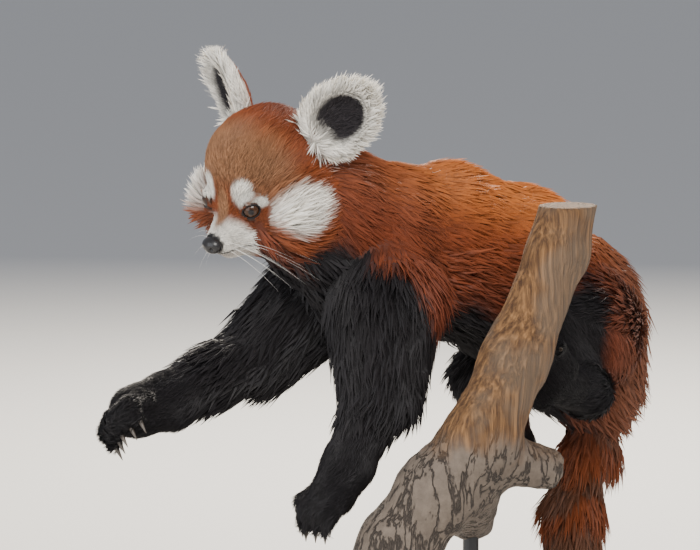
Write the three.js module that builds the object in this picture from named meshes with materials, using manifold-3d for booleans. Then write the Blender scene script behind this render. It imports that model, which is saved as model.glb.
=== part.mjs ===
// A life-size still model of a red panda that clambers along a forked branch.
// Units are millimetres, +Z is up, and the animal faces -X with its left side towards -Y.
// The origin is under the middle of the model, on the surface that the stand rests on.
import * as THREE from "three";
import { mergeVertices } from "three/addons/utils/BufferGeometryUtils.js";
import Module from "manifold-3d";

const wasm = await Module();
wasm.setup();

// Driving dimensions
const SOLE_Z = 308; // height of the two standing soles above the table
const GAP = 0.3; // clearance between touching nodes
const EASE = 0.015;
const TAIL_RADIUS = 38; // out to the tips of the tail's locks
const TAIL_CORE = 0.62; // of the radius out to the tips
const EYE_RADIUS = 8;
const BASE_THICKNESS = 18;
const ROD_RADIUS = 7;

const V = (x, y, z) => new THREE.Vector3(x, y, z);
const SHIFT = [-20, 20]; // from the middle of the withers to the middle of the stand
const P = (x, y, z) => V(x + SHIFT[0], y + SHIFT[1], z + SOLE_Z); // a place given by its height over the soles

let seed = 7;
function random() {
  seed = (seed + 0x6d2b79f5) | 0;
  let t = Math.imul(seed ^ (seed >>> 15), 1 | seed);
  t = (t + Math.imul(t ^ (t >>> 7), 61 | t)) ^ t;
  return ((t ^ (t >>> 14)) >>> 0) / 4294967296;
}
const vary = (share) => 1 + share * (2 * random() - 1);

// Solids
function solidOf(geometry) {
  const plain = new THREE.BufferGeometry();
  const source = geometry.index ? geometry.toNonIndexed() : geometry;
  plain.setAttribute("position", source.getAttribute("position"));
  const merged = mergeVertices(plain, 1e-4);
  return new wasm.Manifold(
    new wasm.Mesh({
      numProp: 3,
      vertProperties: new Float32Array(merged.attributes.position.array),
      triVerts: new Uint32Array(merged.index.array),
    }),
  );
}

function geometryOf(solid) {
  const mesh = solid.getMesh();
  const points = new Float32Array(mesh.numVert * 3);
  for (let i = 0; i < mesh.numVert; i++) {
    points.set(mesh.vertProperties.subarray(i * mesh.numProp, i * mesh.numProp + 3), i * 3);
  }
  const geometry = new THREE.BufferGeometry();
  geometry.setAttribute("position", new THREE.BufferAttribute(points, 3));
  geometry.setIndex(new THREE.BufferAttribute(new Uint32Array(mesh.triVerts), 1));
  return easedApart(geometry);
}

// Corners of one closed surface that share a place are eased a hair inwards, away from each other.
function easedApart(geometry) {
  geometry.computeVertexNormals();
  const at = geometry.attributes.position;
  const normal = geometry.attributes.normal;
  for (let pass = 0; pass < 3; pass++) {
    const places = new Map();
    for (let i = 0; i < at.count; i++) {
      const key = [at.getX(i), at.getY(i), at.getZ(i)].map((c) => Math.round(c * 400)).join(",");
      places.set(key, [...(places.get(key) ?? []), i]);
    }
    for (const group of places.values()) {
      if (group.length < 2) continue;
      for (const i of group) {
        const jitter = () => EASE * (random() - 0.5);
        at.setXYZ(
          i,
          at.getX(i) - EASE * normal.getX(i) + jitter(),
          at.getY(i) - EASE * normal.getY(i) + jitter(),
          at.getZ(i) - EASE * normal.getZ(i) + jitter(),
        );
      }
    }
  }
  geometry.deleteAttribute("normal");
  return geometry;
}

const largest = (solid) => solid.decompose().sort((a, b) => b.volume() - a.volume())[0];

// A turned and moved copy of a geometry: its local X, Y and Z go to the three directions given.
function placed(geometry, origin, x, y, z) {
  const matrix = new THREE.Matrix4().makeBasis(x, y, z).setPosition(origin);
  return geometry.clone().applyMatrix4(matrix);
}

function basisAlong(direction, hint) {
  const z = direction.clone().normalize();
  const x = hint.clone().addScaledVector(z, -hint.dot(z)).normalize();
  return { x, y: z.clone().cross(x), z };
}

// A block that starts at a plane and reaches from it along the plane's normal.
function block(origin, normal, width, depth, height, hint = V(0, 0, 1)) {
  const { x, y, z } = basisAlong(normal, hint);
  const box = new THREE.BoxGeometry(height, width, depth).translate(0, 0, depth / 2);
  return solidOf(placed(box, origin, x, y, z));
}

// Distance fields
const smoothMin = (a, b, k) => {
  const h = Math.max(k - Math.abs(a - b), 0) / k;
  return Math.min(a, b) - h * h * k * 0.25;
};

function ellipsoid(centre, radii) {
  const [rx, ry, rz] = radii;
  return (p) => {
    const x = p.x - centre.x;
    const y = p.y - centre.y;
    const z = p.z - centre.z;
    const k0 = Math.hypot(x / rx, y / ry, z / rz);
    const k1 = Math.hypot(x / (rx * rx), y / (ry * ry), z / (rz * rz));
    return k1 < 1e-9 ? -Math.min(rx, ry, rz) : (k0 * (k0 - 1)) / k1;
  };
}

// A limb section: a cone with round ends.
function roundCone(a, b, ra, rb) {
  const axis = b.clone().sub(a);
  const l2 = axis.lengthSq();
  const rr = ra - rb;
  const a2 = l2 - rr * rr;
  return (p) => {
    const px = p.x - a.x;
    const py = p.y - a.y;
    const pz = p.z - a.z;
    const y = px * axis.x + py * axis.y + pz * axis.z;
    const z = y - l2;
    const qx = px * l2 - axis.x * y;
    const qy = py * l2 - axis.y * y;
    const qz = pz * l2 - axis.z * y;
    const x2 = qx * qx + qy * qy + qz * qz;
    const y2 = y * y * l2;
    const z2 = z * z * l2;
    const k = Math.sign(rr) * rr * rr * x2;
    if (Math.sign(z) * a2 * z2 > k) return Math.sqrt(x2 + z2) / l2 - rb;
    if (Math.sign(y) * a2 * y2 < k) return Math.sqrt(x2 + y2) / l2 - ra;
    return (Math.sqrt((x2 * a2) / l2) + y * rr) / l2 - ra;
  };
}

const blended = (fields, k) => (p) => fields.reduce((d, f) => smoothMin(d, f(p), k), 1e6);

// A chain of limb sections through points, each [point, radius].
function chain(stations, k) {
  const sections = [];
  for (let i = 1; i < stations.length; i++) {
    sections.push(roundCone(stations[i - 1][0], stations[i][0], stations[i - 1][1], stations[i][1]));
  }
  return blended(sections, k);
}

function gradient(field, p, e = 0.5) {
  return V(
    field(V(p.x + e, p.y, p.z)) - field(V(p.x - e, p.y, p.z)),
    field(V(p.x, p.y + e, p.z)) - field(V(p.x, p.y - e, p.z)),
    field(V(p.x, p.y, p.z + e)) - field(V(p.x, p.y, p.z - e)),
  ).normalize();
}

// The closed surface where a field is 0, with one point in each grid cell that the surface passes.
function surfaceOf(field, low, high, step) {
  const n = ["x", "y", "z"].map((c) => Math.ceil((high[c] - low[c]) / step) + 1);
  const at = (i, j, k) => (k * n[1] + j) * n[0] + i;
  const spot = (i, j, k) => V(low.x + i * step, low.y + j * step, low.z + k * step);
  const value = new Float32Array(n[0] * n[1] * n[2]);
  for (let k = 0; k < n[2]; k++)
    for (let j = 0; j < n[1]; j++)
      for (let i = 0; i < n[0]; i++) value[at(i, j, k)] = field(spot(i, j, k));
  const corners = [0, 1, 2, 3, 4, 5, 6, 7].map((c) => [c & 1, (c >> 1) & 1, c >> 2]);
  const edges = [];
  for (const a of corners) {
    for (const axis of [0, 1, 2]) {
      if (a[axis]) continue;
      const b = [...a];
      b[axis] = 1;
      edges.push([a, b]);
    }
  }
  const vertex = new Map();
  const points = [];
  for (let k = 0; k < n[2] - 1; k++)
    for (let j = 0; j < n[1] - 1; j++)
      for (let i = 0; i < n[0] - 1; i++) {
        const sum = V(0, 0, 0);
        let count = 0;
        for (const [a, b] of edges) {
          const va = value[at(i + a[0], j + a[1], k + a[2])];
          const vb = value[at(i + b[0], j + b[1], k + b[2])];
          if (va < 0 === vb < 0) continue;
          sum.add(spot(i + a[0], j + a[1], k + a[2]).lerp(spot(i + b[0], j + b[1], k + b[2]), va / (va - vb)));
          count++;
        }
        if (!count) continue;
        const p = sum.divideScalar(count);
        const d = field(p);
        p.addScaledVector(gradient(field, p), -THREE.MathUtils.clamp(d, -step * 0.4, step * 0.4));
        vertex.set(at(i, j, k), points.length / 3);
        points.push(p.x, p.y, p.z);
      }
  const index = [];
  const point = (v) => V(points[3 * v], points[3 * v + 1], points[3 * v + 2]);
  const quad = (a, b, c, d) => {
    if (point(a).distanceToSquared(point(c)) < point(b).distanceToSquared(point(d))) {
      index.push(a, b, c, a, c, d);
    } else {
      index.push(b, c, d, b, d, a);
    }
  };
  const steps = [
    [[1, 0, 0], [0, 1, 0], [0, 0, 1]],
    [[0, 1, 0], [0, 0, 1], [1, 0, 0]],
    [[0, 0, 1], [1, 0, 0], [0, 1, 0]],
  ];
  for (let k = 1; k < n[2] - 1; k++)
    for (let j = 1; j < n[1] - 1; j++)
      for (let i = 1; i < n[0] - 1; i++)
        for (const [along, u, w] of steps) {
          const va = value[at(i, j, k)];
          const vb = value[at(i + along[0], j + along[1], k + along[2])];
          if (va < 0 === vb < 0) continue;
          const cell = (du, dw) =>
            vertex.get(at(i - du * u[0] - dw * w[0], j - du * u[1] - dw * w[1], k - du * u[2] - dw * w[2]));
          const ring = [cell(1, 1), cell(0, 1), cell(0, 0), cell(1, 0)];
          if (vb < 0) ring.reverse();
          quad(...ring);
        }
  const geometry = new THREE.BufferGeometry();
  geometry.setAttribute("position", new THREE.BufferAttribute(new Float32Array(points), 3));
  geometry.setIndex(index);
  return geometry;
}

// The animal's head frame: forward along the muzzle, left, and up, from the point between the eyes
const HEAD_AT = P(-196, -10, 295);
const [HEAD_YAW, HEAD_PITCH, HEAD_ROLL] = [14, 21, 6].map(THREE.MathUtils.degToRad);
const headTurn = new THREE.Matrix4()
  .makeRotationZ(HEAD_YAW)
  .multiply(new THREE.Matrix4().makeRotationY(-HEAD_PITCH))
  .multiply(new THREE.Matrix4().makeRotationX(HEAD_ROLL));
const FORWARD = V(-1, 0, 0).transformDirection(headTurn);
const LEFT = V(0, -1, 0).transformDirection(headTurn);
const UP = V(0, 0, 1).transformDirection(headTurn);
const onHead = (f, l, u) => HEAD_AT.clone().addScaledVector(FORWARD, f).addScaledVector(LEFT, l).addScaledVector(UP, u);

function headEllipsoid(f, l, u, radii) {
  const local = ellipsoid(V(f, l, u), radii);
  return (p) => {
    const q = p.clone().sub(HEAD_AT);
    return local(V(q.dot(FORWARD), q.dot(LEFT), q.dot(UP)));
  };
}

// Joints of the four legs, from the trunk out, with the flesh's radius at each
const LEGS = {
  front_left: [
    [P(-72, -44, 215), 46],
    [P(-80, -54, 138), 31],
    [P(-108, -50, 76), 22],
    [P(-124, -49, 50), 20],
  ],
  front_right: [
    [P(-75, 42, 210), 44],
    [P(-131, 58, 158), 31],
    [P(-225, 48, 124), 25],
    [P(-262, 42, 118), 23],
  ],
  rear_left: [
    [P(135, -36, 168), 54],
    [P(76, -40, 190), 36],
    [P(112, -78, 120), 22],
    [P(64, -98, 134), 16],
  ],
  rear_right: [
    [P(138, 40, 160), 54],
    [P(94, 56, 114), 34],
    [P(128, 66, 52), 19],
    [P(88, 58, 32), 17],
  ],
};

// Where each foot points, where its back faces, and how far its toes curl (degrees)
const FEET = {
  front_left: { at: P(-124, -49, 50), along: V(-0.8, 0.05, -0.6), back: V(-0.6, 0, 0.8), curl: 38 },
  front_right: { at: P(-262, 42, 118), along: V(-0.9, -0.25, -0.2), back: V(-0.35, 0.55, 0.75), curl: 78 },
  rear_left: { at: P(64, -98, 134), along: V(-0.72, 0, 0.62), back: V(0.1, 0.98, 0.1), curl: 62 },
  rear_right: { at: P(88, 58, 32), along: V(-1, -0.03, -0.02), back: V(0, 0, 1), curl: 14 },
};
const TOE_RADIUS = 8.5;
const TOE_SPREAD = 10.5;

const toes = {};
for (const [name, foot] of Object.entries(FEET)) {
  const along = foot.along.clone().normalize();
  const side = foot.back.clone().cross(along).normalize();
  const back = along.clone().cross(side);
  toes[name] = [-2, -1, 0, 1, 2].map((i) => {
    const start = foot.at.clone().addScaledVector(side, i * TOE_SPREAD * 0.75);
    const reach = 24 - Math.abs(i) * 3;
    const knuckle = start
      .clone()
      .addScaledVector(along, reach)
      .addScaledVector(side, i * 3.2)
      .addScaledVector(back, 2 - Math.abs(i));
    const curl = THREE.MathUtils.degToRad(foot.curl);
    const bent = along.clone().multiplyScalar(Math.cos(curl)).addScaledVector(back, -Math.sin(curl));
    const tip = knuckle.clone().addScaledVector(bent, 13).addScaledVector(side, i * 0.6);
    return { start, knuckle, tip, bent, back: back.clone(), side };
  });
}

const upperLegs = Object.values(LEGS).map((stations) => chain(stations.slice(0, 2), 14));
const lowerLegs = Object.entries(LEGS).map(([name, stations]) => {
  const toeFields = toes[name].map((toe) =>
    blended(
      [
        roundCone(toe.start, toe.knuckle, TOE_RADIUS + 3, TOE_RADIUS + 1),
        roundCone(toe.knuckle, toe.tip, TOE_RADIUS + 1, TOE_RADIUS - 2),
      ],
      4,
    ),
  );
  return blended([chain(stations.slice(1), 10), ...toeFields], 5);
});

const TAIL = [
  [P(176, 0, 100), 30],
  [P(166, 0, 50), 29],
  [P(150, 0, 0), 34],
  [P(148, 0, -60), TAIL_RADIUS],
  [P(154, 0, -150), TAIL_RADIUS],
  [P(152, 0, -215), 33],
  [P(143, 0, -258), 20],
];

const TORSO_NARROW = 1.32; // height over width
const torsoRound = chain(
  [
    [P(-62, 0, 246), 68],
    [P(10, 0, 245), 72],
    [P(80, 0, 220), 75],
    [P(135, 0, 172), 72],
    [P(165, 0, 125), 52],
  ],
  20,
);
const torsoField = (p) => torsoRound(V(p.x, p.y * TORSO_NARROW, p.z)) / 1.08;
const neckField = chain(
  [
    [P(-60, 0, 262), 66],
    [P(-110, -2, 284), 58],
    [P(-155, -8, 290), 48],
  ],
  16,
);
const headField = blended(
  [
    headEllipsoid(-44, 0, 20, [53, 50, 49]),
    headEllipsoid(-16, 0, 2, [26, 34, 25]),
    headEllipsoid(-32, 42, -16, [32, 27, 31]),
    headEllipsoid(-32, -42, -16, [32, 27, 31]),
    roundCone(onHead(-8, 0, -15), onHead(23, 0, -22), 21, 13),
    roundCone(onHead(-12, 0, -30), onHead(14, 0, -34), 17, 9),
  ],
  14,
);
const upper = blended([torsoField, neckField, headField, chain(TAIL, 16), ...upperLegs], 16);
const animal = blended([upper, ...lowerLegs], 5);

// The cut length of branch that the animal holds
const BRANCH = [
  [P(58, -134, 310), 25],
  [P(43, -134, 252), 25],
  [P(3, -134, 168), 28],
  [P(-28, -130, 101), 31],
  [P(-58, -108, 55), 33],
  [P(-86, -92, 8), 33],
  [P(-108, -84, -40), 32],
];
const BRANCH_TOP = 292;
const BRANCH_FOOT = -24;
const perchField = blended(
  [
    chain(BRANCH, 14),
    roundCone(P(-16, -122, 84), P(60, -126, 62), 24, 17),
    roundCone(P(-24, -104, 58), P(92, 80, -26), 29, 20),
  ],
  16,
);
const STUB_CUT = [P(46, -126, 66), V(0.96, 0, -0.28)];
const LIMB_CUT = [P(88, 74, -23), V(0.5, 0.8, -0.37)];

const clipped = (field, low, high) => (p) =>
  Math.max(
    field(p),
    low.x - p.x,
    p.x - high.x,
    low.y - p.y,
    p.y - high.y,
    low.z - p.z,
    p.z - high.z,
  );

function meshed(field, low, high, step) {
  const pad = step * 2.2;
  const near = low.clone().subScalar(pad);
  const far = high.clone().addScalar(pad);
  return solidOf(surfaceOf(clipped(field, low, high), near, far, step));
}

const PERCH_LOW = P(-160, -160, BRANCH_FOOT - 30);
const PERCH_HIGH = P(175, 110, BRANCH_TOP + 30);
function perchSolid(offset) {
  const step = 16.4;
  const raw = meshed((p) => perchField(p) - offset, PERCH_LOW, PERCH_HIGH, step);
  const big = 200;
  const cuts = [
    block(P(60, -112, BRANCH_TOP + offset), V(0, 0, 1), big, big, big, V(1, 0, 0)),
    block(P(-90, -80, BRANCH_FOOT - offset), V(0, 0, -1), big, big, big, V(1, 0, 0)),
    block(STUB_CUT[0].clone().addScaledVector(STUB_CUT[1], offset), STUB_CUT[1], 60, 60, 60),
    block(LIMB_CUT[0].clone().addScaledVector(LIMB_CUT[1], offset), LIMB_CUT[1], 80, 80, 80),
  ];
  return largest(raw.subtract(wasm.Manifold.union(cuts)));
}
const perch = perchSolid(0);
const perchRoom = perchSolid(GAP + 0.8);

// Materials
const slots = {
  coat_rust: [0x8a3c16, 0.85, 0],
  coat_dark: [0x1d1614, 0.85, 0],
  coat_pale: [0xe8dfd0, 0.85, 0],
  coat_tail: [0x7a4326, 0.85, 0],
  eye: [0x24130c, 0.12, 0],
  nose: [0x131110, 0.4, 0],
  claw: [0xcbbfae, 0.4, 0],
  bark: [0x6f5b47, 0.9, 0],
  stand: [0x2b2b2d, 0.45, 0],
};
const group = new THREE.Group();
function add(name, slot, solid) {
  const [color, roughness, metalness] = slots[slot];
  const material = new THREE.MeshStandardMaterial({ color, roughness, metalness });
  material.name = slot;
  const mesh = new THREE.Mesh(geometryOf(largest(solid)), material);
  mesh.name = name;
  group.add(mesh);
}

// A curved, tapered horn through stations of [point, radius], with sides of equal count.
function horn(stations, sides, flat = 1, hint = V(0, 0, 1)) {
  const points = [];
  const index = [];
  stations.forEach(([at, radius], s) => {
    const before = stations[Math.max(s - 1, 0)][0];
    const after = stations[Math.min(s + 1, stations.length - 1)][0];
    const { x, y } = basisAlong(after.clone().sub(before), hint);
    for (let i = 0; i < sides; i++) {
      const angle = (2 * Math.PI * i) / sides;
      const p = at
        .clone()
        .addScaledVector(x, radius * flat * Math.cos(angle))
        .addScaledVector(y, radius * Math.sin(angle));
      points.push(p.x, p.y, p.z);
    }
  });
  const ring = (s, i) => s * sides + (i % sides);
  for (let s = 1; s < stations.length; s++) {
    for (let i = 0; i < sides; i++) {
      index.push(ring(s - 1, i), ring(s - 1, i + 1), ring(s, i + 1));
      index.push(ring(s - 1, i), ring(s, i + 1), ring(s, i));
    }
  }
  for (let i = 1; i < sides - 1; i++) {
    const end = stations.length - 1;
    index.push(ring(0, 0), ring(0, i + 1), ring(0, i));
    index.push(ring(end, 0), ring(end, i), ring(end, i + 1));
  }
  const geometry = new THREE.BufferGeometry();
  geometry.setAttribute("position", new THREE.BufferAttribute(new Float32Array(points), 3));
  geometry.setIndex(index);
  return solidOf(geometry);
}

// Claws
const CLAW_LENGTH = 12;
function claw(toe, room) {
  const root = toe.tip.clone().addScaledVector(toe.bent, -room);
  const drop = toe.back.clone().negate();
  const along = toe.bent.clone();
  const path = [0, 0.55, 1].map((t) =>
    root
      .clone()
      .addScaledVector(along, (CLAW_LENGTH + room * 2) * t)
      .addScaledVector(drop, CLAW_LENGTH * 0.25 * t * t),
  );
  const radii = [2.3, 1.7, 0.4].map((r) => r + room);
  return horn(path.map((p, i) => [p, radii[i]]), 5, 1, toe.side);
}

// Parting planes: each slab's middle, normal and half size
const planes = {
  head: [P(-142, -6, 286), V(-0.96, -0.1, 0.05), 240],
  neck: [P(-84, 0, 268), V(-0.86, 0, 0.5), 200],
  tail: [P(165, 0, 48), V(0.25, 0, -0.97), 92],
};

const slab = ([at, normal, size]) => {
  const n = normal.clone().normalize();
  return block(at.clone().addScaledVector(n, -GAP / 2), n, size, GAP, size);
};
const LEG_PLANES = {
  front_left: [P(-78, -52, 160), V(-0.1, -0.15, -0.98), 96],
  front_right: [P(-112, 53, 172), V(-0.75, 0.2, -0.62), 104],
  rear_left: [P(98, -61, 150), V(0.05, -1, -0.12), 230],
  rear_right: [P(110, 61, 82), V(0.4, 0.1, -0.9), 80],
};
const PAW_CUT_SHARE = { front_left: 0.52, front_right: 0.52, rear_left: 0.8, rear_right: 0.52 };
const pawPlanes = Object.fromEntries(
  Object.entries(LEGS).map(([name, s]) => {
    const [a, b] = [s[2][0], s[3][0]];
    return [name, [a.clone().lerp(b, PAW_CUT_SHARE[name]), b.clone().sub(a), 72]];
  }),
);

// The space past a parting plane
function beyond([at, normal, size], depth, room) {
  const n = normal.clone().normalize();
  return block(at.clone().addScaledVector(n, -room), n, size + 2 * room, depth + room, size + 2 * room);
}

function pieceAt(pieces, point) {
  const probe = solidOf(new THREE.SphereGeometry(4, 6, 4).translate(point.x, point.y, point.z));
  return pieces
    .map((piece) => [piece.intersect(probe).volume(), piece])
    .sort((a, b) => b[0] - a[0])[0][1];
}

// The place on a surface that is met on the way out from a point inside it
function outward(field, centre, direction) {
  const n = direction.clone().normalize();
  const p = centre.clone();
  for (let i = 0; i < 40; i++) {
    p.addScaledVector(n, -field(p) * 0.9);
  }
  return p;
}

// A flat, tapered lock of coat that leaves the surface and bends along the lie
const LOCK_SINK = 5;
function lock(field, at, lie, length, width, lift = 0.3) {
  const normal = gradient(field, at, 1);
  const along = lie.clone().addScaledVector(normal, -lie.dot(normal)).normalize();
  const across = normal.clone().cross(along);
  const sway = 0.16 * (2 * random() - 1);
  const long = length * vary(0.18);
  const root = at.clone().addScaledVector(normal, -LOCK_SINK);
  const shape = [
    [0, 0.8],
    [0.5, 1],
    [1, 0.12],
  ];
  const stations = shape.map(([t, wide]) => {
    const rise = LOCK_SINK * Math.min(t * 2, 1) + lift * long * (t - 0.62 * t * t);
    const p = root
      .clone()
      .addScaledVector(along, long * t)
      .addScaledVector(normal, rise)
      .addScaledVector(across, sway * long * t * t);
    return [p, (wide * width) / 2];
  });
  return horn(stations, 4, 0.42, normal);
}

// Rows of locks around a limb section, staggered from row to row
function shag(field, a, b, rows, aroundDeg, lie, length, width, lift = 0.3) {
  const axis = b.clone().sub(a).normalize();
  const locks = [];
  const { x, y } = basisAlong(axis, V(0, 0, 1));
  for (let r = 0; r < rows; r++) {
    aroundDeg.forEach((degrees, i) => {
      const angle = THREE.MathUtils.degToRad(degrees + (r % 2 ? 12 : -8) + 8 * (random() - 0.5));
      const share = (r + 0.3 + 0.5 * random() + (i % 2) * 0.2) / rows;
      const centre = a.clone().lerp(b, Math.min(share, 1));
      const way = x.clone().multiplyScalar(Math.cos(angle)).addScaledVector(y, Math.sin(angle));
      locks.push(lock(field, outward(field, centre, way), lie, length, width, lift));
    });
  }
  return locks;
}

const joined = (solid, locks) => largest(wasm.Manifold.union([solid, ...locks]));

// Torso and neck
const BODY_STEP = 18;
const bodySolid = meshed(upper, P(-170, -110, 30), P(250, 110, 376), BODY_STEP);
const legRooms = Object.values(LEG_PLANES).map((plane) => beyond(plane, 150, GAP / 2));
const tailRoom = beyond(planes.tail, 80, GAP / 2);
const bodyPieces = bodySolid
  .subtract(wasm.Manifold.union([slab(planes.head), slab(planes.neck), tailRoom, ...legRooms]))
  .decompose();

const direction = (x, y, z) => V(x, y, z).normalize();
const spread = (from, to, count) => Array.from({ length: count }, (_, i) => from + ((to - from) * i) / (count - 1));

// Shag of the trunk: chest and belly, flanks, rump and shoulders, then the throat
const TRUNK_SHAG = [
  [P(-70, 0, 236), P(-20, 0, 228), 2, [120, 145, 170, 195, 220], direction(0.6, 0, -0.8), 34, 17, 0.25],
  [P(0, 0, 226), P(80, 0, 212), 2, [136, 162, 188, 214], direction(0.85, 0, -0.5), 34, 17, 0.25],
  [P(90, 0, 205), P(140, 0, 168), 2, [66, 92, 268, 294], direction(0.75, 0, -0.65), 38, 20, 0.18],
  [P(150, 0, 146), P(168, 0, 112), 2, [-66, -22, 22, 66], direction(0.35, 0, -0.95), 44, 22, 0.3],
];
const THROAT_SHAG = [P(-136, -6, 282), P(-100, -2, 266), 2, spread(120, 240, 5), direction(0.35, 0, -0.93), 30, 15, 0.3];
const bodyCuts = wasm.Manifold.union([slab(planes.head), slab(planes.neck), tailRoom, ...legRooms, perchRoom]);
const torsoMiddle = P(20, 0, 234);
const neckMiddle = P(-118, -2, 276);
const trunkLocks = TRUNK_SHAG.flatMap((row) => shag(upper, ...row));
const torso = joined(pieceAt(bodyPieces, torsoMiddle), trunkLocks).subtract(bodyCuts);
const neck = joined(pieceAt(bodyPieces, neckMiddle), shag(upper, ...THROAT_SHAG)).subtract(bodyCuts);

// Tail: a core to half way out, under rings of locks that hang and overlap
const TAIL_RINGS = 9;
const TAIL_ROUND = 7;
const TAIL_LOCK = [56, 27];
const tailCurve = new THREE.CatmullRomCurve3(TAIL.slice(1).map(([p]) => p));
const tailRadii = TAIL.slice(1).map(([, r]) => r);
function tailRadius(t) {
  const s = t * (tailRadii.length - 1);
  const i = Math.min(Math.floor(s), tailRadii.length - 2);
  return THREE.MathUtils.lerp(tailRadii[i], tailRadii[i + 1], s - i);
}
const tailTimes = spread(0, 0.97, 12);
const tailCore = horn(
  tailTimes.map((t) => [tailCurve.getPoint(t), tailRadius(t) * TAIL_CORE]),
  12,
);
const tailLocks = [];
for (let ring = 0; ring < TAIL_RINGS; ring++) {
  for (let i = 0; i < TAIL_ROUND; i++) {
    const t = 0.02 + (0.9 * (ring + 0.35 * random())) / TAIL_RINGS;
    const at = tailCurve.getPoint(t);
    const along = tailCurve.getTangent(t);
    const angle = (2 * Math.PI * (i + (ring % 2) / 2 + 0.3 * random())) / TAIL_ROUND;
    const { x, y } = basisAlong(along, V(1, 0, 0));
    const out = x.clone().multiplyScalar(Math.cos(angle)).addScaledVector(y, Math.sin(angle));
    const across = out.clone().cross(along);
    const reach = tailRadius(Math.min(t + 0.12, 1));
    const rootRadius = tailRadius(t) * TAIL_CORE - LOCK_SINK;
    const long = TAIL_LOCK[0] * vary(0.12) * (t > 0.8 ? 0.8 : 1);
    const sway = 6 * (2 * random() - 1);
    const stations = [
      [0, 0, 0.8],
      [0.5, 0.85, 1],
      [1, 1, 0.14],
    ].map(([s, rise, wide]) => [
      at
        .clone()
        .addScaledVector(along, long * s)
        .addScaledVector(out, THREE.MathUtils.lerp(rootRadius, reach, rise))
        .addScaledVector(across, sway * s * s),
      (wide * TAIL_LOCK[1]) / 2,
    ]);
    tailLocks.push(horn(stations, 4, 0.42, out));
  }
}
const tail = joined(tailCore, tailLocks).intersect(beyond([planes.tail[0], planes.tail[1], 320], 420, -GAP / 2)).subtract(perchRoom);

// Head, with its cheek ruffs, lids and mouth
const ball = (centre, radius, wide = 12, high = 8) =>
  solidOf(new THREE.SphereGeometry(radius, wide, high).translate(centre.x, centre.y, centre.z));
const headBox = [P(-310, -120, 180), P(-85, 110, 395)];
const headOnly = meshed(blended([headField, neckField], 16), headBox[0], headBox[1], 9);
const headWay = (f, l, u) => V(0, 0, 0).addScaledVector(FORWARD, f).addScaledVector(LEFT, l).addScaledVector(UP, u).normalize();

const ruff = [];
for (const side of [1, -1]) {
  for (const [row, count] of [[0, 4], [1, 4], [2, 4]]) {
    for (let i = 0; i < count; i++) {
      const turn = THREE.MathUtils.degToRad(-68 + 27 * i + 10 * (row % 2));
      const ahead = 0.35 - 0.42 * row;
      const way = headWay(ahead, side * Math.cos(turn), Math.sin(turn));
      const at = outward(headField, onHead(-34, side * 26, -12), way);
      const fall = headWay(-0.5, side * 0.62, 0.5 * Math.sin(turn) - 0.42);
      ruff.push(lock(headField, at, fall, 31, 15, 0.34));
    }
  }
}
for (const l of [-8, 0, 8]) {
  const at = outward(headField, onHead(0, l, -24), headWay(0.3, 0, -1));
  ruff.push(lock(headField, at, headWay(-0.2, 0, -1), 16, 9, 0.2));
}

const EYES = { left: [onHead(3, 24, 1), 1], right: [onHead(3, -24, 1), -1] };
const LID_RADIUS = 1.9;
function lids([centre, side]) {
  const gaze = headWay(0.74, side * 0.66, 0.1);
  const corner = headWay(-0.62, side * 0.74, 0.2);
  const rise = corner.clone().cross(gaze).multiplyScalar(side).normalize();
  return [0.72, -0.72].map((open) =>
    horn(
      spread(-1, 1, 5).map((t) => {
        const way = gaze
          .clone()
          .addScaledVector(corner, 1.5 * t)
          .addScaledVector(rise, open * (1 - t * t))
          .normalize();
        return [centre.clone().addScaledVector(way, EYE_RADIUS + 0.5), LID_RADIUS * (1.1 - 0.4 * t * t)];
      }),
      5,
    ),
  );
}

const noseAt = onHead(33, 0, -23);
function noseSolid(room) {
  const geometry = new THREE.SphereGeometry(1, 12, 8);
  geometry.scale(7 + room, 9.5 + room, 7 + room);
  return solidOf(placed(geometry, noseAt, FORWARD, LEFT, UP));
}
const NOSTRIL_RADIUS = 1.7;
const nostrils = [1, -1].map((side) => {
  const at = noseAt.clone().addScaledVector(LEFT, side * 4).addScaledVector(FORWARD, 8).addScaledVector(UP, -0.5);
  const inner = noseAt.clone().addScaledVector(LEFT, side * 3.2).addScaledVector(FORWARD, 2.5);
  return horn([[at, NOSTRIL_RADIUS], [inner, NOSTRIL_RADIUS * 0.7]], 6);
});
const MOUTH_RADIUS = 1.3;
const MOUTH = [[1, 0, -0.42], [0.85, 0.42, -0.52], [0.45, 0.85, -0.6], [0.05, 0.95, -0.5]];
const mouth = [1, -1].map((side) =>
  horn(
    MOUTH.map(([f, l, u]) => [outward(headField, onHead(2, 0, -20), headWay(f, side * l, u)), MOUTH_RADIUS]),
    5,
  ),
);
const sockets = Object.values(EYES).map(([at]) => ball(at, EYE_RADIUS + GAP));
const headCore = pieceAt(headOnly.subtract(slab(planes.head)).decompose(), onHead(-40, 0, 10));
const head = joined(headCore, [...ruff, ...Object.values(EYES).flatMap(lids)]).subtract(
  wasm.Manifold.union([slab(planes.head), noseSolid(GAP), ...sockets, ...mouth]),
);

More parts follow.
